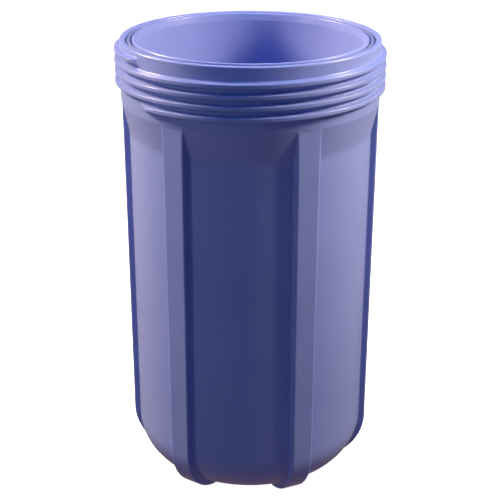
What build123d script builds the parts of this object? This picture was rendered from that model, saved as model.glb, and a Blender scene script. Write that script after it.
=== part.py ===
from build123d import *
import os
from math import asin, cos, degrees, hypot, radians, sin, tan

# Sump (lower bowl) of a large cartridge filter housing, with the O-ring of its rim.
# Millimetres, +Z up along the bowl's axis. The origin is the centre of the plane that the
# six feet stand on. Angles are measured from +X, anticlockwise seen from above.

# Overall
HEIGHT = 286.5
OUTER_R = 79.4            # outside radius that the draft starts from, at the rim
DRAFT = 0.0074            # radius lost for each millimetre below the rim
PILOT_R = 79.25           # plain cylinder above, between and below the thread turns

# Rim: two lips with the seal gland between them
INNER_LIP_R = 69.6
GLAND_INNER_R = 71.6
GLAND_OUTER_R = 75.7
GLAND_DEPTH = 4.6
LIP_ROUND = 0.9
LEAD_IN_DEPTH = 4.5
BORE_R = 68.8             # inside radius of the straight land under the lead-in
BORE_LAND = 20.0          # length of that land; the wall is drafted below it
BORE_DRAFT = 0.006

# External thread: 4 threads per inch, right hand, single start
PITCH = 25.4 / 4
THREAD_TURNS = 4.0
THREAD_RAMP = 6.0         # angle in which each end of the thread rises out of the wall
THREAD_RUN_ON = 2.0       # how far its buried foot runs on past each end, in degrees
CREST_R = 82.55
CREST_WIDTH = 2.3
FLANK_ANGLE = 15.0
THREAD_BURY = 0.8         # how far the thread's foot is sunk in the wall
THREAD_START_ANGLE = -138.0
CREST_TOP_BELOW_RIM = 29.25   # top edge of the crest at the thread's lower end

# Ribs and the panels between them
RIB_COUNT = 6
RIB_TOP_WIDTH = 15.0
RIB_FOOT_WIDTH = 13.4
RIB_HEIGHT = 4.0
RIB_EDGE_ROUND = 1.1
RIB_BACK_R = 71.0         # how deep a rib's root is sunk in the wall
RIB_LAP = 2.0             # how far a rib runs up into the collar
RIB_TOP_SINK = 0.3        # how far its face lies under the collar there
COLLAR_BOTTOM_BELOW_RIM = 38.0
PANEL_FULL_BELOW_RIM = 57.0   # where a panel reaches its full depth
PANEL_TOP_DEPTH = 4.4     # that depth; it eases to the rib height at the knuckle

# Bottom: the ribs wrap the knuckle and end as feet
KNUCKLE_R = 34.3          # outside radius of the ribs in the vertical plane
KNUCKLE_CUT = 0.6         # how much of that arc the flat of the feet takes away
FOOT_INNER_R = 43.4
DOME_SAG = 1.2            # how far the dome's centre bulges below its edge
FLOOR_THICKNESS = 6.5
INNER_KNUCKLE_R = 24.0

# Cartridge seat, moulded on the floor
SEAT_POST_R = 12.6
SEAT_POST_HEIGHT = 16.0
SEAT_POST_DRAFT = 1.6
SEAT_POST_ROUND = 1.5
SEAT_RING_R = 22.0
SEAT_RING_WIDTH = 2.4
SEAT_RING_HEIGHT = 5.0
SEAT_GUSSETS = 6
SEAT_GUSSET_THICKNESS = 2.4
SEAT_GUSSET_REACH = 38.0
SEAT_GUSSET_HEIGHT = 3.0
SEAT_OVERLAP = 1.0        # how far the seat's parts are sunk in the floor
GATE_R = 4.0              # moulding gate, a low button under the dome's centre
GATE_HEIGHT = 0.8
GATE_OVERLAP = 1.0

# Rim seal: an O-ring that lies in the gland, clear of its walls and floor
SEAL_SECTION_R = 1.75
SEAL_FLOOR_GAP = 0.3

# Modelling aids
CUT_CLEARANCE = 5.0       # how far a cutting solid reaches past what it cuts
EDGE_TOLERANCE = 0.5      # how near a rib's face an edge has to be to be rounded with it
RIM_TOLERANCE = 0.001     # how near the rim's height an edge of a lip has to be

RIM_Z = HEIGHT
COLLAR_Z = RIM_Z - COLLAR_BOTTOM_BELOW_RIM
PANEL_TOP_Z = RIM_Z - PANEL_FULL_BELOW_RIM
KNUCKLE_Z = KNUCKLE_R - KNUCKLE_CUT
KNUCKLE_X = OUTER_R - DRAFT * (RIM_Z - KNUCKLE_Z) - KNUCKLE_R
DOME_Z = RIB_HEIGHT - KNUCKLE_CUT
FLOOR_Z = DOME_Z + FLOOR_THICKNESS


def outer_radius(z):
    """Outside radius of the collar and of the ribs' faces at height z."""
    return OUTER_R - DRAFT * (RIM_Z - z)


def half_section(lines):
    """A face in the XZ plane from joined lines that run from the axis back to the axis."""
    outline = Wire(Curve() + lines)
    return make_face(Curve() + [*lines, Line(outline @ 1, outline @ 0)])


def at(radius, z):
    """A point of the half section that is turned about the axis."""
    return (radius, 0, z)


def knuckle_arc(radius, end_angle):
    """The arc that turns the wall into the bottom, from the wall down to end_angle."""
    points = [
        at(KNUCKLE_X + radius * cos(radians(a)), KNUCKLE_Z - radius * sin(radians(a)))
        for a in (0, end_angle / 2, end_angle)
    ]
    return ThreePointArc(*points)


def shell_outside():
    """The solid bowl without ribs and thread: pilot, collar, sunk panels and domed bottom."""
    arc = knuckle_arc(KNUCKLE_R - RIB_HEIGHT, 90)
    dome_edge = arc @ 1
    dome_middle = at(KNUCKLE_X / 2, dome_edge.Z - 3 / 4 * DOME_SAG)
    lines = [
        ThreePointArc(at(0, dome_edge.Z - DOME_SAG), dome_middle, dome_edge),
        arc,
        Polyline(
            arc @ 0,
            at(outer_radius(PANEL_TOP_Z) - PANEL_TOP_DEPTH, PANEL_TOP_Z),
            at(outer_radius(COLLAR_Z), COLLAR_Z),
            at(PILOT_R, RIM_Z - CREST_TOP_BELOW_RIM - PITCH),
            at(PILOT_R, RIM_Z),
            at(0, RIM_Z),
        ),
    ]
    return revolve(half_section(lines), Axis.Z)


def rib():
    """One rib on the +X side: flat face, drafted sides, rounded edges, flat foot."""
    top_z = COLLAR_Z + RIB_LAP
    foot_angle = degrees(asin(KNUCKLE_Z / KNUCKLE_R))
    arc = knuckle_arc(KNUCKLE_R, foot_angle)
    inside = Polyline(
        arc @ 1,
        at(FOOT_INNER_R, 0),
        at(FOOT_INNER_R, KNUCKLE_Z),
        at(RIB_BACK_R, KNUCKLE_Z),
        at(RIB_BACK_R, top_z),
        at(outer_radius(top_z) - RIB_TOP_SINK, top_z),
        arc @ 0,
    )
    slab = extrude(make_face(Curve() + [arc, inside]), RIB_TOP_WIDTH, both=True)
    side = Polyline(
        (-RIB_FOOT_WIDTH / 2, 0),
        (RIB_FOOT_WIDTH / 2, 0),
        (RIB_TOP_WIDTH / 2, top_z),
        (-RIB_TOP_WIDTH / 2, top_z),
        (-RIB_FOOT_WIDTH / 2, 0),
    )
    blank = slab & extrude(make_face(Plane.YZ * side), 2 * OUTER_R)
    long_edges = [e for e in blank.edges() if is_on_rib_face(e @ 0.5)]
    return fillet(long_edges, RIB_EDGE_ROUND)


def is_on_rib_face(point):
    """True on the long sides of a rib's outer face, both straight and round the knuckle."""
    if abs(point.Y) < RIB_FOOT_WIDTH / 2 - EDGE_TOLERANCE:
        return False
    if point.Z > KNUCKLE_Z:
        off_face = abs(point.X - outer_radius(point.Z))
        return off_face < EDGE_TOLERANCE and point.Z < COLLAR_Z
    reach = hypot(point.X - KNUCKLE_X, point.Z - KNUCKLE_Z)
    return abs(reach - KNUCKLE_R) < EDGE_TOLERANCE and point.Z > 0


def thread():
    """The external thread, its foot sunk in the wall, both its ends ramped."""
    depth = CREST_R - PILOT_R + THREAD_BURY
    foot_width = CREST_WIDTH + 2 * depth * tan(radians(FLANK_ANGLE))
    foot_r = PILOT_R - THREAD_BURY
    section = Plane.XZ * Polyline(
        (foot_r, -foot_width / 2),
        (CREST_R, -CREST_WIDTH / 2),
        (CREST_R, CREST_WIDTH / 2),
        (foot_r, foot_width / 2),
        (foot_r, -foot_width / 2),
    )
    rise = PITCH * THREAD_TURNS
    run_on_rise = PITCH * THREAD_RUN_ON / 360
    path = Helix(pitch=PITCH, height=rise + 2 * run_on_rise, radius=foot_r)
    turns = sweep(make_face(section), path=path, is_frenet=True)
    turns = Pos(0, 0, -run_on_rise) * Rot(0, 0, -THREAD_RUN_ON) * turns
    turns -= ramp_cut(THREAD_RAMP, 0)
    turns -= Rot(0, 0, THREAD_TURNS * 360) * ramp_cut(-THREAD_RAMP, rise)
    start_z = RIM_Z - CREST_TOP_BELOW_RIM - CREST_WIDTH / 2
    return Pos(0, 0, start_z) * Rot(0, 0, THREAD_START_ANGLE) * turns


def ramp_cut(ramp_angle, z):
    """What a ramp takes off the thread: from the wall at angle 0 to the crest at ramp_angle."""
    wall = Vector(PILOT_R, 0, z)
    crest = Vector(CREST_R * cos(radians(ramp_angle)), CREST_R * sin(radians(ramp_angle)), z)
    along = crest - wall
    outward = Vector(along.Y, -along.X, 0) if ramp_angle > 0 else Vector(-along.Y, along.X, 0)
    face = Plane(origin=(wall + crest) / 2, x_dir=along, z_dir=outward)
    length = along.length + 2 * CUT_CLEARANCE
    return face * Box(
        length, PITCH, CUT_CLEARANCE, align=(Align.CENTER, Align.CENTER, Align.MIN)
    )


def bore():
    """The hollow of the bowl: lead-in, land, drafted wall, inner knuckle and flat floor."""
    land_top_z = RIM_Z - LEAD_IN_DEPTH
    land_bottom_z = land_top_z - BORE_LAND
    knuckle_centre_z = FLOOR_Z + INNER_KNUCKLE_R
    wall_r = BORE_R - BORE_DRAFT * (land_bottom_z - knuckle_centre_z)
    centre_r = wall_r - INNER_KNUCKLE_R
    middle = INNER_KNUCKLE_R * sin(radians(45))
    lines = [
        Line(at(0, FLOOR_Z), at(centre_r, FLOOR_Z)),
        ThreePointArc(
            at(centre_r, FLOOR_Z),
            at(centre_r + middle, knuckle_centre_z - middle),
            at(wall_r, knuckle_centre_z),
        ),
        Polyline(
            at(wall_r, knuckle_centre_z),
            at(BORE_R, land_bottom_z),
            at(BORE_R, land_top_z),
            at(INNER_LIP_R, RIM_Z),
            at(INNER_LIP_R, RIM_Z + CUT_CLEARANCE),
            at(0, RIM_Z + CUT_CLEARANCE),
        ),
    ]
    return revolve(half_section(lines), Axis.Z)


def gland():
    """The ring groove in the rim that holds the seal."""
    section = Plane.XZ * Pos((GLAND_INNER_R + GLAND_OUTER_R) / 2, RIM_Z) * Rectangle(
        GLAND_OUTER_R - GLAND_INNER_R, 2 * GLAND_DEPTH
    )
    return revolve(section, Axis.Z)


def cartridge_seat():
    """Centring post, knife-edge ring and gussets that a cartridge stands on."""
    post = Pos(0, 0, FLOOR_Z) * Cone(
        SEAT_POST_R,
        SEAT_POST_R - SEAT_POST_DRAFT,
        SEAT_POST_HEIGHT,
        align=(Align.CENTER, Align.CENTER, Align.MIN),
    )
    post = fillet(post.edges().sort_by(Axis.Z)[-1], SEAT_POST_ROUND)
    post += Pos(0, 0, FLOOR_Z) * Cylinder(SEAT_POST_R, 2 * SEAT_OVERLAP)
    sunk_z = FLOOR_Z - SEAT_OVERLAP
    ring_top_z = FLOOR_Z + SEAT_RING_HEIGHT
    ring_section = Plane.XZ * Polyline(
        (SEAT_RING_R - SEAT_RING_WIDTH / 2, sunk_z),
        (SEAT_RING_R + SEAT_RING_WIDTH / 2, sunk_z),
        (SEAT_RING_R + SEAT_RING_WIDTH / 4, ring_top_z),
        (SEAT_RING_R - SEAT_RING_WIDTH / 4, ring_top_z),
        (SEAT_RING_R - SEAT_RING_WIDTH / 2, sunk_z),
    )
    seat = post + revolve(make_face(ring_section), Axis.Z)
    gusset = Pos(0, 0, sunk_z) * Box(
        SEAT_GUSSET_REACH,
        SEAT_GUSSET_THICKNESS,
        SEAT_OVERLAP + SEAT_GUSSET_HEIGHT,
        align=(Align.MIN, Align.CENTER, Align.MIN),
    )
    for i in range(SEAT_GUSSETS):
        seat += Rot(0, 0, i * 360 / SEAT_GUSSETS) * gusset
    return seat


def gate():
    """The button that the moulding gate leaves under the dome."""
    bottom = DOME_Z - DOME_SAG - GATE_HEIGHT
    return Pos(0, 0, bottom) * Cylinder(
        GATE_R, GATE_HEIGHT + GATE_OVERLAP, align=(Align.CENTER, Align.CENTER, Align.MIN)
    )


def sump():
    """The whole moulding."""
    body = shell_outside() + gate()
    one_rib = rib()
    for i in range(RIB_COUNT):
        body += Rot(0, 0, i * 360 / RIB_COUNT) * one_rib
    body -= bore()
    body -= gland()
    lip_edges = [
        e for e in body.edges().filter_by(GeomType.CIRCLE) if abs((e @ 0).Z - RIM_Z) < RIM_TOLERANCE
    ]
    body = fillet(lip_edges, LIP_ROUND)
    body += thread()
    body += cartridge_seat()
    return body


def rim_seal():
    """The O-ring, relaxed in the gland."""
    centre_r = (GLAND_INNER_R + GLAND_OUTER_R) / 2
    centre_z = RIM_Z - GLAND_DEPTH + SEAL_FLOOR_GAP + SEAL_SECTION_R
    return Pos(0, 0, centre_z) * Torus(centre_r, SEAL_SECTION_R)


def write(node, shape):
    """One STEP file per node, and its volume and box for the log."""
    shape.label = node
    export_step(shape, f"parts/{node}.step")
    size = shape.bounding_box().size
    print(f"{node}: {shape.volume / 1000:.1f} cm3, {size.X:.2f} x {size.Y:.2f} x {size.Z:.2f} mm")


os.makedirs("parts", exist_ok=True)
write("sump", sump())
write("rim_seal", rim_seal())
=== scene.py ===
"""Looks of an open filter-housing sump and its rim seal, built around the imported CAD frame.

The sump is one closed mesh: rows that run round the bowl, joined from the gate under its
bottom, up the outside, over the rim and down the inside to the post on its floor. Shapes are
worked out in millimetres with +Z up, as the CAD is, and written to the mesh in metres.
"""

from math import asin, cos, pi, radians, sin, tan

import bpy
import numpy as np
from mathutils import Matrix, Vector


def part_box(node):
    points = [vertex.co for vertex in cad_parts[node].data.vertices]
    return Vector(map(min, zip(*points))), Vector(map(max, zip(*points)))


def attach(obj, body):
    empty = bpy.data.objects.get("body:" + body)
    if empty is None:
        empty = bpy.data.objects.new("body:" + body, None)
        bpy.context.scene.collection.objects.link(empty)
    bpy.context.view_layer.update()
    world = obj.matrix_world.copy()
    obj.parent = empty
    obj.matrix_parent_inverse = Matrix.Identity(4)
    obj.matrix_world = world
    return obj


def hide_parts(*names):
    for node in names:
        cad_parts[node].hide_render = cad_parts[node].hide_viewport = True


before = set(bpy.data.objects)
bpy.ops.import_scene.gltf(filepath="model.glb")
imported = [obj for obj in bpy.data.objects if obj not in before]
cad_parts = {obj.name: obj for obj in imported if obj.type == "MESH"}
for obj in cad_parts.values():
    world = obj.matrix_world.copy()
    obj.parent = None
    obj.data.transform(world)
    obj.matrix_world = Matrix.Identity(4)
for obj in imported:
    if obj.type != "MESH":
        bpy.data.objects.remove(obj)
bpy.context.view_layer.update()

METRES = 0.001            # metres in a millimetre

# Overall, in millimetres and degrees
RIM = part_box("sump")[1].z / METRES
OUTER_R = 79.4            # outside radius that the draft starts from, at the rim
DRAFT = 0.0074            # radius lost for each millimetre below the rim
PILOT_R = 79.25           # plain cylinder above, between and below the thread's turns

# Rim: two lips with the seal gland between them
INNER_LIP_R = 69.6
GLAND_INNER_R = 71.6
GLAND_OUTER_R = 75.7
GLAND_DEPTH = 4.6
GLAND_CORNER = 0.5
LIP_ROUND = 0.85
LIP_FLAT = 0.1            # least half width of the flat left on top of a lip
LEAD_IN_DEPTH = 4.5
LEAD_IN_ROUND = 0.4       # height of the blend from the lead-in to the land, each way
LEAD_IN_BLEND = 0.03      # how much wider than the land that blend starts
BORE_R = 68.8             # inside radius of the straight land under the lead-in
BORE_LAND = 20.0          # length of that land; the wall is drafted below it
BORE_DRAFT = 0.006
BORE_ROWS = 9

# External thread: right hand, single start
PITCH = 25.4 / 4
TURNS = 4
CREST_R = 82.5            # 0.05 inside the CAD's crest, to stay in its box
CREST_WIDTH = 2.3
CREST_ROUND = 0.5
THREAD_ROOT_ROUND = 0.6
CREST_ROUND_POINTS = 6
THREAD_ROOT_POINTS = 5
FLANK_ANGLE = 15.0
THREAD_START_ANGLE = -138.0
THREAD_RAMP = 6.0         # angle in which each end of the thread rises out of the wall
CREST_TOP_BELOW_RIM = 29.25   # top edge of the crest at the thread's lower end
WALL_ROW_BELOW_THREAD = PITCH - 0.8   # where the plain wall starts under the thread
WALL_ROW_BELOW_RIM = 1.4      # where it ends over the thread

# Ribs and panels
RIBS = 6
RIB_TOP_WIDTH = 15.0
RIB_FOOT_WIDTH = 13.4
RIB_HEIGHT = 4.0
RIB_EDGE_ROUND = 1.1
RIB_ROOT_ROUND = 0.7
RIB_SIDE_DRAFT = 0.12     # how much wider a rib is at its root than at its face, each side
RIB_TOP_SINK = 0.3        # how far a rib's face lies under the collar at its top
RIB_FLAT_SHARES = (0.0, 0.5, 1.0)     # columns on half its face
RIB_EDGE_STEPS = (18, 36, 54, 72, 90)     # columns on its rounded edge, in degrees
RIB_ROOT_STEPS = (0, 22.5, 45, 67.5, 90)  # columns on its rounded root
PANEL_STEPS = 12          # columns on half a panel
COLLAR_BOTTOM_BELOW_RIM = 38.0
COLLAR_EDGE = 0.3         # height of the blend at the collar's lower edge, each way
COLLAR_EDGE_SINK = 0.05   # how much narrower the collar is at that edge
KINK_REACH = 8.0          # how far under the panels' kink the closely spaced rows start
WALL_ROWS = 9             # below those
KINK_ROWS = 16            # from there to the collar
PANEL_FULL_BELOW_RIM = 57.0   # where a panel reaches its full depth
PANEL_TOP_DEPTH = 4.4     # that depth; it eases to the rib height at the knuckle
PANEL_TOP_SOFT = 0.8      # how far the kinks at both ends of its run-out are rounded

# Bottom: the ribs wrap the knuckle and end as feet
KNUCKLE_R = 34.3          # outside radius of the ribs in the vertical plane
KNUCKLE_CUT = 0.6         # how much of that arc the flat of the feet takes away
KNUCKLE_ROWS = 27
FOOT_INNER_R = 43.4
FOOT_ROUND = 0.6
FOOT_ROUND_STEPS = (30, 60, 90)   # rows on that round, in degrees
FOOT_END_ROWS = ((-0.5, 0.0), (-0.1, 0.12), (0.0, 0.35), (0.03, 0.8))     # outwards, share down
DOME_SAG = 1.2            # how far the dome's centre bulges below its edge
DOME_MARGIN = 1.0         # how far inside the feet the dome's last row lies
DOME_ROWS = 8
GATE_R = 4.0
GATE_HEIGHT = 0.8
GATE_ROUND = 0.3

# Inside of the bottom, with the seat that a cartridge stands on
FLOOR_THICKNESS = 6.5
INNER_KNUCKLE_R = 24.0
INNER_KNUCKLE_STEPS = 12
POST_R = 12.6
POST_TOP_R = 11.0
POST_HEIGHT = 16.0
POST_ROUND = 1.5
POST_FOOT_ROUND = 1.0
POST_CLEAR = 0.3          # height above the gussets at which the post is round again
SEAT_RING_R = 22.0
SEAT_RING_FOOT = 1.2      # half its thickness at the floor
SEAT_RING_TOP = 0.6       # half its thickness at its knife edge
SEAT_RING_HEIGHT = 5.0
SEAT_RING_FLARE = ((2.0, 0.0), (1.1, 0.5))    # outwards and up, in halves of its foot
SEAT_RING_MARGIN = 5.0    # how far outside the ring its nearest plain row lies
GUSSET_WIDTH = 2.4
GUSSET_HEIGHT = 3.0
GUSSET_REACH = 38.0
GUSSET_END_ROWS = ((0.5, 0.0), (0.1, 0.15), (0.0, 0.8), (-0.5, 1.0))      # outwards, share up

# Rim seal
SEAL_SECTION_R = 1.73
SEAL_FLASH = 0.02         # height of its moulding line
SEAL_STEPS_AROUND = 288
SEAL_STEPS_SECTION = 40

HALF_SECTOR = pi / RIBS
COLLAR = RIM - COLLAR_BOTTOM_BELOW_RIM
PANEL_TOP = RIM - PANEL_FULL_BELOW_RIM
KNUCKLE_Z = KNUCKLE_R - KNUCKLE_CUT
KNUCKLE_X = OUTER_R - DRAFT * (RIM - KNUCKLE_Z) - KNUCKLE_R
PANEL_KNUCKLE_R = KNUCKLE_R - RIB_HEIGHT
DOME_Z = KNUCKLE_Z - PANEL_KNUCKLE_R
FLOOR_Z = DOME_Z + FLOOR_THICKNESS


# ---------------------------------------------------------------- columns

def rib_columns():
    """Half a rib, from its middle out: share of its flat face, distance past it, height share."""
    columns = [(share, 0.0, 1.0) for share in RIB_FLAT_SHARES]
    for a in np.radians(RIB_EDGE_STEPS):
        drop = RIB_EDGE_ROUND * (1 - cos(a)) / RIB_HEIGHT
        columns.append((1.0, RIB_EDGE_ROUND * sin(a), 1 - drop))
    foot = RIB_EDGE_ROUND + RIB_SIDE_DRAFT
    for a in np.radians(RIB_ROOT_STEPS):
        rise = RIB_ROOT_ROUND * (1 - sin(a)) / RIB_HEIGHT
        columns.append((1.0, foot + RIB_ROOT_ROUND * (1 - cos(a)), rise))
    return columns


def all_columns():
    """Every column round the bowl, as arrays: rib's angle, side, face share, out, lift, spread."""
    half = [(*column, 0.0) for column in rib_columns()]
    root = half[-1]
    half += [(root[0], root[1], 0.0, i / PANEL_STEPS) for i in range(1, PANEL_STEPS + 1)]
    one_sector = [(1, *column) for column in half]
    one_sector += [(-1, *column) for column in half[-2:0:-1]]
    rows = []
    for i in range(RIBS):
        for side, *column in one_sector:
            rib = i if side > 0 else i + 1
            rows.append((rib * 2 * HALF_SECTOR, side, *column))
    return np.array(rows).T


RIB_ANGLE, SIDE, FACE_SHARE, OUT, LIFT, SPREAD = all_columns()
COLUMNS = len(SIDE)


def half_width(z):
    """Half the width of a rib at height z."""
    return (RIB_FOOT_WIDTH + (RIB_TOP_WIDTH - RIB_FOOT_WIDTH) * z / COLLAR) / 2


def column_angles(radius, half_rib):
    """Where each column crosses a circle, for ribs of the given half width."""
    offset = FACE_SHARE * (half_rib - RIB_EDGE_ROUND) + OUT
    angle = np.arcsin(offset / radius)
    return RIB_ANGLE + SIDE * (angle + SPREAD * (HALF_SECTOR - angle))


UPPER_ANGLES = column_angles(PILOT_R, RIB_TOP_WIDTH / 2)
DOME_ANGLES = column_angles(KNUCKLE_X, RIB_FOOT_WIDTH / 2)


# ---------------------------------------------------------------- rows

def outer_radius(z):
    """Outside radius of the collar and the ribs' faces at height z."""
    return OUTER_R - DRAFT * (RIM - z)


def round_row(radius, z, angles=UPPER_ANGLES):
    """A plain circle of points."""
    height = np.full(COLUMNS, z) if np.isscalar(z) else z
    return np.stack([radius * np.cos(angles), radius * np.sin(angles), height], 1)


def ribbed_row(panel, rib, half_rib, share=1.0):
    """A circle of points at panel (radius, z) whose rib columns rise to the plane rib (x, z)."""
    angles = column_angles(panel[0], half_rib)
    low = round_row(panel[0], panel[1], angles)
    aside = panel[0] * np.sin(angles - RIB_ANGLE)
    c, s = np.cos(RIB_ANGLE), np.sin(RIB_ANGLE)
    high = np.stack(
        [rib[0] * c - aside * s, rib[0] * s + aside * c, np.full(COLUMNS, rib[1])], 1
    )
    lift = (LIFT * share)[:, None]
    return low * (1 - lift) + high * lift


def corner(centre, radius, start, end, steps):
    """Points (radius, z) of a rounded corner, from angle start to end in the half section."""
    turns = np.radians(np.linspace(start, end, steps + 1))
    return [(centre[0] + radius * cos(a), centre[1] + radius * sin(a)) for a in turns]


def dome_z(radius):
    """Height of the domed bottom's underside."""
    return DOME_Z - DOME_SAG * (1 - (radius / KNUCKLE_X) ** 2)


def gate_rows():
    """The button that the moulding gate leaves under the dome, from its flat end outwards."""
    bottom = DOME_Z - DOME_SAG - GATE_HEIGHT
    r = GATE_ROUND
    points = corner((GATE_R - r, bottom + r), r, -90, 0, steps=3)
    points += corner((GATE_R + r, dome_z(GATE_R + r) - r), r, 180, 90, steps=3)
    return [round_row(*p, DOME_ANGLES) for p in points]


def dome_rows():
    """The domed underside inside the circle of feet."""
    radii = np.linspace(GATE_R, FOOT_INNER_R - DOME_MARGIN, DOME_ROWS)[1:]
    return [round_row(r, dome_z(r), DOME_ANGLES) for r in radii]


def panel_under(radius):
    """Point of the panel's knuckle at a radius under the bowl."""
    drop = (PANEL_KNUCKLE_R**2 - (radius - KNUCKLE_X) ** 2) ** 0.5
    return (radius, KNUCKLE_Z - drop)


def foot_rows():
    """The upright end faces of the six feet, and the start of their flats."""
    half = RIB_FOOT_WIDTH / 2
    points = list(FOOT_END_ROWS)
    for a in np.radians(FOOT_ROUND_STEPS):
        rounded = 1 - FOOT_ROUND * (1 - sin(a)) / DOME_Z
        points.append((FOOT_ROUND * (1 - cos(a)), rounded))
    rows = []
    for outward, share in points:
        x = FOOT_INNER_R + outward
        rows.append(ribbed_row(panel_under(x), (x, 0.0), half, share))
    return rows


def knuckle_rows():
    """The ribs and panels where they turn from the bottom into the wall."""
    flat_angle = asin(KNUCKLE_Z / KNUCKLE_R)
    rows = []
    for a in np.linspace(flat_angle, 0, KNUCKLE_ROWS):
        panel = (KNUCKLE_X + PANEL_KNUCKLE_R * cos(a), KNUCKLE_Z - PANEL_KNUCKLE_R * sin(a))
        rib = (KNUCKLE_X + KNUCKLE_R * cos(a), max(0.0, KNUCKLE_Z - KNUCKLE_R * sin(a)))
        rows.append(ribbed_row(panel, rib, half_width(rib[1])))
    return rows


def soft_step(x):
    """x where it is positive and 0 where it is not, with a rounded kink between them."""
    return ((x * x + PANEL_TOP_SOFT**2) ** 0.5 + x) / 2


def panel_depth(z):
    """How far a panel lies inside the ribs' faces at height z; it runs out at the collar."""
    up_the_wall = min(1.0, (z - KNUCKLE_Z) / (PANEL_TOP - KNUCKLE_Z))
    full = RIB_HEIGHT + (PANEL_TOP_DEPTH - RIB_HEIGHT) * up_the_wall
    share = (soft_step(COLLAR - z) - soft_step(PANEL_TOP - z)) / (COLLAR - PANEL_TOP)
    return full * min(1.0, max(0.0, share))


def wall_rows():
    """The ribbed wall from the knuckle up to the collar, then the collar."""
    kink_start = PANEL_TOP - KINK_REACH
    heights = [*np.linspace(KNUCKLE_Z, kink_start, WALL_ROWS)[1:]]
    heights += [*np.linspace(kink_start, COLLAR - COLLAR_EDGE, KINK_ROWS)[1:]]
    rows = []
    for z in heights:
        sink = RIB_TOP_SINK * (z - KNUCKLE_Z) / (COLLAR - KNUCKLE_Z)
        panel = (outer_radius(z) - panel_depth(z), z)
        rows.append(ribbed_row(panel, (outer_radius(z) - sink, z), half_width(z)))
    rows.append(round_row(outer_radius(COLLAR) - COLLAR_EDGE_SINK, COLLAR))
    rows.append(round_row(outer_radius(COLLAR), COLLAR + COLLAR_EDGE))
    return rows


# ---------------------------------------------------------------- thread

def ridge_profile():
    """One pitch of the thread from root to root: (offset from the ridge's middle, height)."""
    height = CREST_R - PILOT_R
    flank_out = height * tan(radians(FLANK_ANGLE))
    turn = 90 - FLANK_ANGLE
    back = tan(radians(turn / 2))
    crest = CREST_WIDTH / 2 - CREST_ROUND * back
    root = CREST_WIDTH / 2 + flank_out + THREAD_ROOT_ROUND * back
    half = []
    for a in np.radians(np.linspace(0, turn, CREST_ROUND_POINTS)):
        half.append((crest + CREST_ROUND * sin(a), height - CREST_ROUND * (1 - cos(a))))
    for a in np.radians(np.linspace(turn, 0, THREAD_ROOT_POINTS)):
        half.append((root - THREAD_ROOT_ROUND * sin(a), THREAD_ROOT_ROUND * (1 - cos(a))))
    below = [(-offset, h) for offset, h in reversed(half)]
    return [(-PITCH / 2, 0.0), *below, (0.0, height), *half]


RIDGE = ridge_profile()
SEAM = int(np.argmin(np.abs((UPPER_ANGLES - radians(THREAD_START_ANGLE) + pi) % (2 * pi) - pi)))
TURN_ANGLES = (UPPER_ANGLES - UPPER_ANGLES[SEAM]) % (2 * pi)


def ramp_height(turned):
    """Most that the thread may stand proud after turning this far, in radians, from its start."""
    left = 2 * pi * TURNS - turned
    share = np.clip(np.minimum(turned, left) / radians(THREAD_RAMP), 0, 1)
    return share * (CREST_R - PILOT_R)


def thread_rows():
    """Rows that climb one pitch per turn, so that each follows one line of the thread."""
    start = RIM - CREST_TOP_BELOW_RIM - CREST_WIDTH / 2
    rows = []
    for turn in range(TURNS):
        limit = ramp_height(2 * pi * turn + TURN_ANGLES)
        for offset, height in RIDGE:
            z = start + offset + PITCH * (turn + TURN_ANGLES / (2 * pi))
            rows.append(round_row(PILOT_R + np.minimum(height, limit), z))
    z = start - PITCH / 2 + PITCH * (TURNS + TURN_ANGLES / (2 * pi))
    rows.append(round_row(PILOT_R, z))
    return rows


# ---------------------------------------------------------------- rim and inside

def lip_points(outside, inside):
    """A rounded lip of the rim, from its outer side over its flat top to its inner side."""
    r = min(LIP_ROUND, (outside - inside) / 2 - LIP_FLAT)
    points = corner((outside - r, RIM - r), r, 0, 90, steps=6)
    return points + corner((inside + r, RIM - r), r, 90, 180, steps=6)


def rim_rows():
    """Outer lip, seal gland and inner lip."""
    floor = RIM - GLAND_DEPTH
    r = GLAND_CORNER
    points = lip_points(PILOT_R, GLAND_OUTER_R)
    points += corner((GLAND_OUTER_R - r, floor + r), r, 0, -90, steps=4)
    points += corner((GLAND_INNER_R + r, floor + r), r, -90, -180, steps=4)
    points += lip_points(GLAND_INNER_R, INNER_LIP_R)
    return [round_row(*p) for p in points]


def bore_rows():
    """Lead-in, straight land and drafted wall."""
    land_top = RIM - LEAD_IN_DEPTH
    land_bottom = land_top - BORE_LAND
    low = FLOOR_Z + INNER_KNUCKLE_R
    points = [(BORE_R + LEAD_IN_BLEND, land_top + LEAD_IN_ROUND)]
    points += [(BORE_R, land_top - LEAD_IN_ROUND), (BORE_R, land_bottom)]
    for z in np.linspace(land_bottom, low, BORE_ROWS)[1:]:
        points.append((BORE_R - BORE_DRAFT * (land_bottom - z), z))
    return [round_row(*p) for p in points]


def inner_wall_r():
    """Inside radius where the wall meets the knuckle."""
    return BORE_R - BORE_DRAFT * (RIM - LEAD_IN_DEPTH - BORE_LAND - FLOOR_Z - INNER_KNUCKLE_R)


def inner_knuckle_rows():
    """The inside knuckle; its columns close up on the gussets of the seat."""
    centre = (inner_wall_r() - INNER_KNUCKLE_R, FLOOR_Z + INNER_KNUCKLE_R)
    gusset = column_angles(centre[0], GUSSET_WIDTH / 2)
    steps = INNER_KNUCKLE_STEPS
    points = corner(centre, INNER_KNUCKLE_R, 0, -90, steps)[1:]
    rows = []
    for i, point in enumerate(points, 1):
        share = (1 - cos(pi * i / steps)) / 2
        rows.append(round_row(*point, UPPER_ANGLES * (1 - share) + gusset * share))
    return rows


def seat_row(radius, z, share=1.0):
    """A circle on the floor; the gussets stand above it by up to their height."""
    top = max(z, FLOOR_Z + GUSSET_HEIGHT)
    return ribbed_row((radius, z), (radius, top), GUSSET_WIDTH / 2, share)


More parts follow.
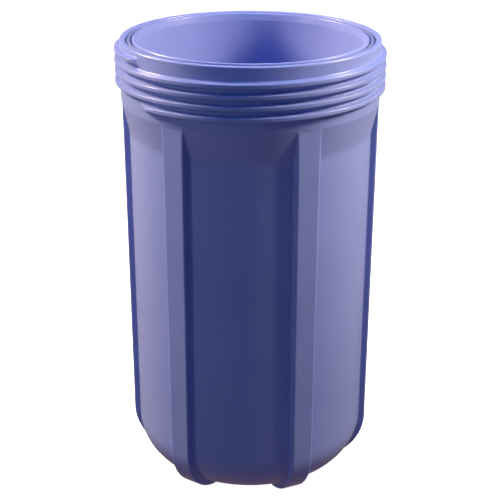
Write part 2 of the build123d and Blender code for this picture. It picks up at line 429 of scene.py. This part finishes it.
def seat_ring_points():
    """Section (radius, z) of the knife-edge ring, from the floor outside it to the one inside."""
    top = FLOOR_Z + SEAT_RING_HEIGHT
    outside = [(SEAT_RING_R + SEAT_RING_MARGIN, FLOOR_Z)]
    for outward, up in SEAT_RING_FLARE:
        outside.append((SEAT_RING_R + outward * SEAT_RING_FOOT, FLOOR_Z + up * SEAT_RING_FOOT))
    outside += corner((SEAT_RING_R, top - SEAT_RING_TOP), SEAT_RING_TOP, 0, 90, steps=4)
    return outside + [(2 * SEAT_RING_R - r, z) for r, z in reversed(outside[:-1])]


def post_rows():
    """The centring post above the gussets, up to its top."""
    angles = column_angles(POST_R, GUSSET_WIDTH / 2)
    clear = GUSSET_HEIGHT + POST_CLEAR
    post_top = FLOOR_Z + POST_HEIGHT
    beside = POST_R + (POST_TOP_R - POST_R) * clear / POST_HEIGHT
    points = [(beside, FLOOR_Z + clear)]
    centre = (POST_TOP_R - POST_ROUND, post_top - POST_ROUND)
    points += corner(centre, POST_ROUND, 0, 90, steps=5)
    points += [(POST_TOP_R / 2, post_top)]
    return [round_row(*p, angles) for p in points]


def seat_rows():
    """Floor with gussets, knife-edge ring and centring post, inwards to the post's top."""
    rows = [seat_row(GUSSET_REACH + outward, FLOOR_Z, share) for outward, share in GUSSET_END_ROWS]
    r = POST_FOOT_ROUND
    points = seat_ring_points() + corner((POST_R + r, FLOOR_Z + r), r, -90, -180, steps=3)
    rows += [seat_row(*p) for p in points]
    return rows + post_rows()


# ---------------------------------------------------------------- meshes

def quads(low, high):
    """Faces between two rows that start at vertices low and high."""
    faces = []
    for k in range(COLUMNS):
        n = (k + 1) % COLUMNS
        faces.append((low + k, low + n, high + n, high + k))
    return faces


def thread_faces(below, base, above):
    """Faces of the thread, its seam shifted by a pitch, and of the plain wall on both sides."""
    per_turn = len(RIDGE)
    count = TURNS * per_turn
    left, right = (SEAM - 1) % COLUMNS, SEAM
    faces = []

    def at(row, column):
        return base + row * COLUMNS + column

    for k in range(COLUMNS):
        n = (k + 1) % COLUMNS
        if k == left:
            continue
        faces += [(at(j, k), at(j, n), at(j + 1, n), at(j + 1, k)) for j in range(count)]
        faces.append((below + k, below + n, at(0, n), at(0, k)))
        faces.append((at(count, k), at(count, n), above + n, above + k))
    faces.append((below + left, below + right, at(0, right), at(0, left)))
    for j in range(per_turn):
        faces.append((at(0, left), at(j, right), at(j + 1, right)))
    for j in range(count - per_turn):
        i = j + per_turn
        faces.append((at(j, left), at(i, right), at(i + 1, right), at(j + 1, left)))
    for j in range(count - per_turn, count):
        faces.append((at(j, left), at(count, right), at(j + 1, left)))
    faces.append((at(count, left), at(count, right), above + right, above + left))
    return faces


def make_piece(name, points, faces, material):
    """A smooth-shaded mesh object from points in millimetres."""
    mesh = bpy.data.meshes.new(name)
    mesh.from_pydata((np.asarray(points) * METRES).tolist(), [], faces)
    mesh.polygons.foreach_set("use_smooth", [True] * len(mesh.polygons))
    mesh.materials.append(material)
    mesh.update()
    piece = bpy.data.objects.new(name, mesh)
    bpy.context.scene.collection.objects.link(piece)
    return piece


def make_sump(material):
    """The whole moulding as one closed mesh."""
    lower = gate_rows() + dome_rows() + foot_rows() + knuckle_rows() + wall_rows()
    lower.append(round_row(PILOT_R, RIM - CREST_TOP_BELOW_RIM - WALL_ROW_BELOW_THREAD))
    thread = thread_rows()
    upper = [round_row(PILOT_R, RIM - WALL_ROW_BELOW_RIM)] + rim_rows() + bore_rows()
    upper += inner_knuckle_rows() + seat_rows()
    points = np.concatenate(lower + thread + upper)
    faces = [tuple(reversed(range(COLUMNS)))]
    for i in range(len(lower) - 1):
        faces += quads(i * COLUMNS, (i + 1) * COLUMNS)
    below = (len(lower) - 1) * COLUMNS
    above = (len(lower) + len(thread)) * COLUMNS
    faces += thread_faces(below, below + COLUMNS, above)
    for i in range(len(upper) - 1):
        faces += quads(above + i * COLUMNS, above + (i + 1) * COLUMNS)
    last = len(points) - COLUMNS
    faces.append(tuple(range(last, last + COLUMNS)))
    piece = make_piece("sump_moulding", points, faces, material)
    piece.modifiers.new("flat faces stay flat", "WEIGHTED_NORMAL").keep_sharp = True
    return piece


def make_seal(material):
    """The O-ring, with the fine moulding line round its inside and outside."""
    low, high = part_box("rim_seal")
    centre_r = high.x / METRES - (high.z - low.z) / METRES / 2
    centre_z = (high.z + low.z) / METRES / 2
    around, section = SEAL_STEPS_AROUND, SEAL_STEPS_SECTION
    turn = np.linspace(0, 2 * pi, around, endpoint=False)
    points = []
    for j, a in enumerate(np.linspace(0, 2 * pi, section, endpoint=False)):
        on_moulding_line = j % (section // 2) == 0
        r = SEAL_SECTION_R + (SEAL_FLASH if on_moulding_line else 0)
        ring = centre_r + r * cos(a)
        z = np.full(around, centre_z + r * sin(a))
        points.append(np.stack([ring * np.cos(turn), ring * np.sin(turn), z], 1))
    faces = []
    for j in range(section):
        low_row, high_row = j * around, (j + 1) % section * around
        for k in range(around):
            n = (k + 1) % around
            faces.append((low_row + k, low_row + n, high_row + n, high_row + k))
    return make_piece("rim_seal_ring", np.concatenate(points), faces, material)


# ---------------------------------------------------------------- materials

# Colours are linear; scales are in features per metre; heights and depths are in metres
PLASTIC_BLUES = ((0.205, 0.255, 0.69), (0.225, 0.275, 0.73))   # darkest and lightest
PLASTIC_ROUGHNESS = (0.28, 0.33)
PLASTIC_IOR = 1.49
PLASTIC_GLOW_DEPTH = 0.004    # how deep light scatters in it
CLOUD_SCALE = 18
WAVE_SCALE = 120
WAVE_HEIGHT = 0.00006
GRAIN_SCALE = 900
GRAIN_HEIGHT = 0.00002
# Seal colours: the blue-grey itself is painted shade, set to look like the shade down in the rim's
# gland; the spread between the two is dusty bloom
RUBBER_AND_GLAND_SHADE_BLUES = ((0.13, 0.16, 0.40), (0.15, 0.18, 0.43))
RUBBER_ROUGHNESS = (0.45, 0.6)
RUBBER_GRAIN_SCALE = 2500
BLOOM_SCALE = 140
RAMP_ENDS = (0.3, 0.7)        # noise levels at which a ramp has its first and last colour
PAPER_TONES = ((0.80, 0.79, 0.80), (0.84, 0.83, 0.84))
PAPER_ROUGHNESS = 0.9
FIBRE_SCALE = 400


def new_material(name):
    """An empty node material; returns it, its node tree and its Principled shader."""
    material = bpy.data.materials.new(name)
    material.use_nodes = True
    tree = material.node_tree
    return material, tree, tree.nodes["Principled BSDF"]


def noise(tree, scale, detail=3.0):
    """A noise texture in object space, scale in features per metre."""
    where = tree.nodes.new("ShaderNodeTexCoord")
    node = tree.nodes.new("ShaderNodeTexNoise")
    node.inputs["Scale"].default_value = scale
    node.inputs["Detail"].default_value = detail
    tree.links.new(where.outputs["Object"], node.inputs["Vector"])
    return node


def ramp(tree, source, low, high):
    """A colour ramp between two colours or two grey levels, over the middle of a noise's range."""
    node = tree.nodes.new("ShaderNodeValToRGB")
    for element, value, at in zip(node.color_ramp.elements, (low, high), RAMP_ENDS):
        element.color = (*value, 1) if isinstance(value, tuple) else (value, value, value, 1)
        element.position = at
    tree.links.new(source, node.inputs["Fac"])
    return node.outputs["Color"]


def bump(tree, height, distance, strength, below=None):
    """A bump of a height field; distance in metres."""
    node = tree.nodes.new("ShaderNodeBump")
    node.inputs["Distance"].default_value = distance
    node.inputs["Strength"].default_value = strength
    tree.links.new(height, node.inputs["Height"])
    if below is not None:
        tree.links.new(below, node.inputs["Normal"])
    return node.outputs["Normal"]


def blue_polypropylene():
    """Moulded blue polypropylene: slow flow clouds in its colour, fine grain in its gloss."""
    material, tree, shader = new_material("blue_polypropylene")
    clouds = noise(tree, CLOUD_SCALE, detail=2)
    tree.links.new(ramp(tree, clouds.outputs["Fac"], *PLASTIC_BLUES), shader.inputs["Base Color"])
    grain = noise(tree, GRAIN_SCALE, detail=4)
    gloss = ramp(tree, grain.outputs["Fac"], *PLASTIC_ROUGHNESS)
    tree.links.new(gloss, shader.inputs["Roughness"])
    waves = noise(tree, WAVE_SCALE, detail=2)
    skin = bump(tree, waves.outputs["Fac"], WAVE_HEIGHT, strength=0.5)
    fine = bump(tree, grain.outputs["Fac"], GRAIN_HEIGHT, strength=0.1, below=skin)
    tree.links.new(fine, shader.inputs["Normal"])
    shader.inputs["IOR"].default_value = PLASTIC_IOR
    shader.inputs["Subsurface Weight"].default_value = 0.12
    shader.inputs["Subsurface Radius"].default_value = (0.4, 0.6, 1.0)
    shader.inputs["Subsurface Scale"].default_value = PLASTIC_GLOW_DEPTH
    return material


def rubber_in_painted_gland_shade():
    """Satin silicone rubber with a faint dusty bloom. Its blue-grey, duller and greyer than the
    bowl, is painted shade: it is set to look like the shade down in the rim's gland.
    """
    material, tree, shader = new_material("rubber_in_painted_gland_shade")
    bloom = noise(tree, BLOOM_SCALE, detail=5)
    tree.links.new(ramp(tree, bloom.outputs["Fac"], *RUBBER_AND_GLAND_SHADE_BLUES), shader.inputs["Base Color"])
    grain = noise(tree, RUBBER_GRAIN_SCALE)
    gloss = ramp(tree, grain.outputs["Fac"], *RUBBER_ROUGHNESS)
    tree.links.new(gloss, shader.inputs["Roughness"])
    skin = bump(tree, grain.outputs["Fac"], GRAIN_HEIGHT, strength=0.5)
    tree.links.new(skin, shader.inputs["Normal"])
    return material


def pale_paper():
    """Plain matt studio paper, lit to near white as well as by the lamps."""
    material, tree, shader = new_material("studio_paper")
    fibre = noise(tree, FIBRE_SCALE)
    tree.links.new(ramp(tree, fibre.outputs["Fac"], *PAPER_TONES), shader.inputs["Base Color"])
    shader.inputs["Roughness"].default_value = PAPER_ROUGHNESS
    shader.inputs["Emission Color"].default_value = (1.0, 1.0, 1.0, 1)
    shader.inputs["Emission Strength"].default_value = 1.0
    return material


# ---------------------------------------------------------------- studio

# In metres and degrees
CAMERA_DISTANCE = 0.76388     # from the bowl's axis, level
CAMERA_ABOVE_RIM = 0.16635
CAMERA_AZIMUTH = 4.6          # degrees past the -Y direction, towards +X
CAMERA_PITCH = 21.81
CAMERA_ROLL = 0.15
SENSOR = 36.0
LENS = 91.77
FLOOR_REACH = 4.0             # half the width of the floor
BACKDROP_R = 3.9
BACKDROP_HEIGHT = 4.0
BACKDROP_STEPS = 96
HORIZON = 0.5                 # share of the way up from straight below to straight above
ABOVE_HORIZON = 0.56          # where the light from above has its own colour
LIT_HEIGHT = 0.7              # share of the bowl's height that the lights are turned to


def from_camera_side(azimuth, distance, height):
    """A point at an azimuth measured from the camera's side, positive to its right."""
    turn = radians(CAMERA_AZIMUTH + azimuth)
    return Vector((distance * sin(turn), -distance * cos(turn), height))


def make_camera():
    """The camera at the photograph's viewing angle."""
    data = bpy.data.cameras.new("camera")
    data.sensor_width = SENSOR
    data.lens = LENS
    camera = bpy.data.objects.new("camera", data)
    bpy.context.scene.collection.objects.link(camera)
    camera.location = from_camera_side(0, CAMERA_DISTANCE, RIM * METRES + CAMERA_ABOVE_RIM)
    turn = Matrix.Rotation(radians(CAMERA_AZIMUTH), 4, "Z")
    tilt = Matrix.Rotation(radians(90 - CAMERA_PITCH), 4, "X")
    roll = Matrix.Rotation(radians(CAMERA_ROLL), 4, "Z")
    camera.rotation_euler = (turn @ tilt @ roll).to_euler()
    bpy.context.scene.camera = camera


def make_softbox(name, azimuth, distance, above_rim, size, power, colour):
    """A square area light, a level distance from the bowl's axis, turned to its upper half."""
    data = bpy.data.lights.new(name, "AREA")
    data.shape = "SQUARE"
    data.size = size
    data.energy = power
    data.color = colour
    light = bpy.data.objects.new(name, data)
    bpy.context.scene.collection.objects.link(light)
    light.location = from_camera_side(azimuth, distance, RIM * METRES + above_rim)
    target = Vector((0, 0, LIT_HEIGHT * RIM * METRES))
    light.rotation_euler = (target - light.location).to_track_quat("-Z", "Y").to_euler()


def make_stage(name, points, faces, material):
    """A piece of the studio, in metres. It throws no light back on the bowl's sides."""
    mesh = bpy.data.meshes.new(name)
    mesh.from_pydata(points, [], faces)
    mesh.materials.append(material)
    piece = bpy.data.objects.new(name, mesh)
    piece.visible_diffuse = False
    piece.visible_glossy = False
    bpy.context.scene.collection.objects.link(piece)
    return piece


def make_floor(material):
    """A pale floor far larger than the view."""
    corners = [(-FLOOR_REACH, -FLOOR_REACH, 0), (FLOOR_REACH, -FLOOR_REACH, 0)]
    corners += [(FLOOR_REACH, FLOOR_REACH, 0), (-FLOOR_REACH, FLOOR_REACH, 0)]
    make_stage("floor", corners, [(0, 1, 2, 3)], material)


def make_backdrop(material):
    """A round pale wall on the floor, behind the bowl from every side. It casts no shadow."""
    steps = BACKDROP_STEPS
    turns = np.linspace(0, 2 * pi, steps, endpoint=False)
    points = [(BACKDROP_R * cos(a), BACKDROP_R * sin(a), 0.0) for a in turns]
    points += [(x, y, BACKDROP_HEIGHT) for x, y, _ in points]
    faces = []
    for k in range(steps):
        n = (k + 1) % steps
        faces.append((k, n, n + steps, k + steps))
    make_stage("backdrop", points, faces, material).visible_shadow = False


def make_world(below, level, above):
    """Dim light from all round: its colour straight below, at the horizon and from above it."""
    world = bpy.data.worlds.new("studio")
    world.use_nodes = True
    tree = world.node_tree
    where = tree.nodes.new("ShaderNodeTexCoord")
    split = tree.nodes.new("ShaderNodeSeparateXYZ")
    tree.links.new(where.outputs["Generated"], split.inputs["Vector"])
    height = tree.nodes.new("ShaderNodeMapRange")
    height.inputs["From Min"].default_value = -1.0
    tree.links.new(split.outputs["Z"], height.inputs["Value"])
    colours = tree.nodes.new("ShaderNodeValToRGB")
    colours.color_ramp.elements.new(HORIZON)
    for element, colour, at in zip(
        colours.color_ramp.elements, (below, level, above), (0.0, HORIZON, ABOVE_HORIZON)
    ):
        element.color = (*colour, 1)
        element.position = at
    tree.links.new(height.outputs["Result"], colours.inputs["Fac"])
    tree.links.new(colours.outputs["Color"], tree.nodes["Background"].inputs["Color"])
    bpy.context.scene.world = world


make_camera()
bpy.context.scene.view_settings.view_transform = "Standard"
make_world(below=(0.32, 0.16, 0.12), level=(0.10, 0.185, 0.25), above=(0.0, 0.0, 0.02))
# Name, azimuth, distance, height above the rim, size, watts, colour
make_softbox("key_right", 86, 0.5, 0.27, 0.16, 7.2, (1.0, 0.83, 0.51))
make_softbox("key_left", -103, 0.75, 0.44, 0.2, 19.5, (1.0, 0.76, 0.44))
make_softbox("fill_left", -62, 0.8, 0.2, 0.2, 0.84, (0.95, 1.0, 0.82))
make_softbox("fill_top", 0, 0.02, 0.9, 0.8, 4.5, (0.0, 0.40, 1.0))
make_softbox("fill_front", 0, 1.2, 0.5, 0.8, 0.9, (0.0, 0.30, 1.0))
paper = pale_paper()
make_floor(paper)
make_backdrop(paper)

sump = make_sump(blue_polypropylene())
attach(sump, "bowl")
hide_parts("sump")

# The seal's blue-grey colour is painted gland shade
seal = make_seal(rubber_in_painted_gland_shade())
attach(seal, "seal")
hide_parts("rim_seal")
